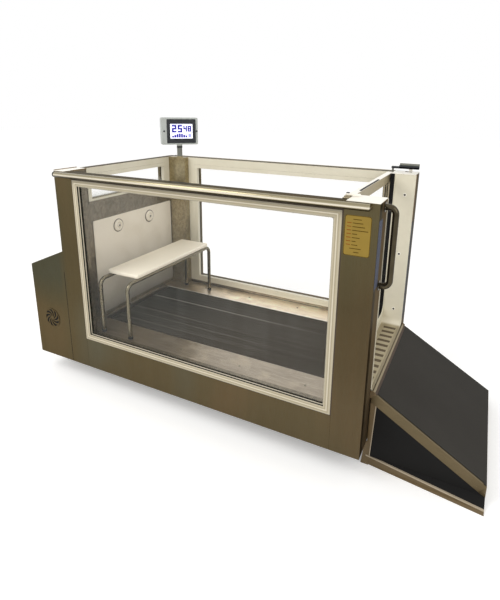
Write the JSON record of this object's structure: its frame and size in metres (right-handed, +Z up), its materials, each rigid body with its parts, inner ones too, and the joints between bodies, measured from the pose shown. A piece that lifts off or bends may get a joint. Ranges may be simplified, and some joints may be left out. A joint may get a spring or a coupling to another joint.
{
  "type": "dog underwater treadmill",
  "caption": "Glazed stainless tank for dogs with a running belt in its floor, an inward door behind an end ramp, a plant housing, a bench and a swivel display.",
  "frame": {"origin": "on the floor, under the middle of the bounding box", "axes": "+X along the belt from the plant housing to the ramp, +Y to the rear wall, +Z up"},
  "size_m": [2.757, 1.2023, 1.6746],
  "materials": {
    "stainless": "brushed",
    "cream_frame": "satin",
    "window_glass": "clear",
    "white_plastic": "satin",
    "black_rubber": "matte",
    "belt_rubber": "matte",
    "black_plastic": "satin",
    "grey_plastic": "satin",
    "dark_metal": "satin"
  },
  "bodies": {
    "tank": {"front_wall": "stainless", "rear_wall": "stainless", "left_wall": "stainless", "tank_lining": "stainless", "door_frame": "stainless", "post_hinge_leaf": "stainless", "front_handrail": "stainless", "rear_handrail": "stainless", "grab_handle": "stainless", "base_frame": "stainless", "levelling_foot_1": "stainless", "levelling_foot_2": "stainless", "levelling_foot_3": "stainless", "levelling_foot_4": "stainless", "levelling_foot_5": "stainless", "levelling_foot_6": "stainless", "belt_frame": "stainless", "deck_surround": "stainless", "housing_shell": "stainless", "housing_lid": "stainless", "display_pole": "stainless", "ramp_frame": "stainless", "front_window_frame": "cream_frame", "rear_window_clamp": "cream_frame", "left_window_clamp": "cream_frame", "jamb_liner": "cream_frame", "front_window_pane": "window_glass", "rear_window_pane": "window_glass", "left_window_pane": "window_glass", "jet_panel": "white_plastic", "jet_socket_front": "white_plastic", "jet_socket_rear": "white_plastic", "vent_grille": "white_plastic", "door_gasket": "black_rubber", "drive_belt": "black_rubber", "running_belt": "belt_rubber", "belt_bed": "grey_plastic", "filter_canister": "grey_plastic", "jet_riser": "grey_plastic", "drain_valve": "grey_plastic", "rear_post_bar": "dark_metal", "drive_motor": "dark_metal", "circulation_pump": "dark_metal"},
    "door": {"door_leaf": "stainless", "door_glass": "window_glass", "door_hinge_leaf": "stainless"},
    "latch": {"latch_lever": "black_plastic"},
    "ramp": {"ramp_deck": "stainless", "ramp_mat": "belt_rubber"},
    "bench": {"bench_seat": "white_plastic", "bench_frame": "stainless"},
    "display": {"display_housing": "grey_plastic", "display_bezel": "black_plastic", "display_screen": "black_plastic"},
    "front_jet": {"jet_ball_front": "white_plastic"},
    "rear_jet": {"jet_ball_rear": "white_plastic"},
    "belt_drive_roller": {"drive_roller": "dark_metal"},
    "belt_idler_roller": {"idler_roller": "dark_metal"},
    "motor_shaft": {"motor_pulley": "dark_metal"},
    "drain_handle": {"drain_lever": "dark_metal"}
  },
  "joints": [
    {"name": "door_swing", "type": "hinge", "parent": "tank", "child": "door", "pos_m": [0.6307, 0.485, 0.88], "axis": [0, 0, -1], "range_deg": [0, 90]},
    {"name": "door_latch", "type": "hinge", "parent": "door", "child": "latch", "pos_m": [0.658, -0.465, 1.392], "axis": [0, 0, 1], "range_deg": [0, 90]},
    {"name": "ramp_fold", "type": "hinge", "parent": "tank", "child": "ramp", "pos_m": [0.838, 0, 0.41], "axis": [0, -1, 0], "range_deg": [0, 110]},
    {"name": "bench_lift", "type": "slide", "parent": "tank", "child": "bench", "axis": [0, 0, 1], "range_m": [0, 0.7]},
    {"name": "display_swivel", "type": "hinge", "parent": "tank", "child": "display", "pos_m": [-0.9385, 0.4844, 1.47], "axis": [0, 0, 1], "range_deg": [-60, 60]},
    {"name": "front_jet_tilt", "type": "hinge", "parent": "tank", "child": "front_jet", "pos_m": [-1.025, -0.13, 0.963], "axis": [0, 1, 0], "range_deg": [-15, 15]},
    {"name": "rear_jet_tilt", "type": "hinge", "parent": "tank", "child": "rear_jet", "pos_m": [-1.025, 0.192, 0.963], "axis": [0, 1, 0], "range_deg": [-15, 15]},
    {"name": "drive_roller_spin", "type": "hinge", "parent": "tank", "child": "belt_drive_roller", "pos_m": [-0.9485, 0, 0.305], "axis": [0, 1, 0], "continuous": true},
    {"name": "idler_roller_spin", "type": "hinge", "parent": "tank", "child": "belt_idler_roller", "pos_m": [0.6015, 0, 0.305], "axis": [0, 1, 0], "continuous": true},
    {"name": "motor_spin", "type": "hinge", "parent": "tank", "child": "motor_shaft", "pos_m": [-1.2085, 0.525, 0.305], "axis": [0, 1, 0], "continuous": true},
    {"name": "drain_valve_turn", "type": "hinge", "parent": "tank", "child": "drain_handle", "pos_m": [0.0715, 0.37, 0.054], "axis": [0, 0, 1], "range_deg": [0, 90]}
  ],
  "couplings": [
    {"joint": "idler_roller_spin", "follows": "drive_roller_spin", "ratio": 1},
    {"joint": "motor_spin", "follows": "drive_roller_spin", "ratio": 1.7778}
  ]
}
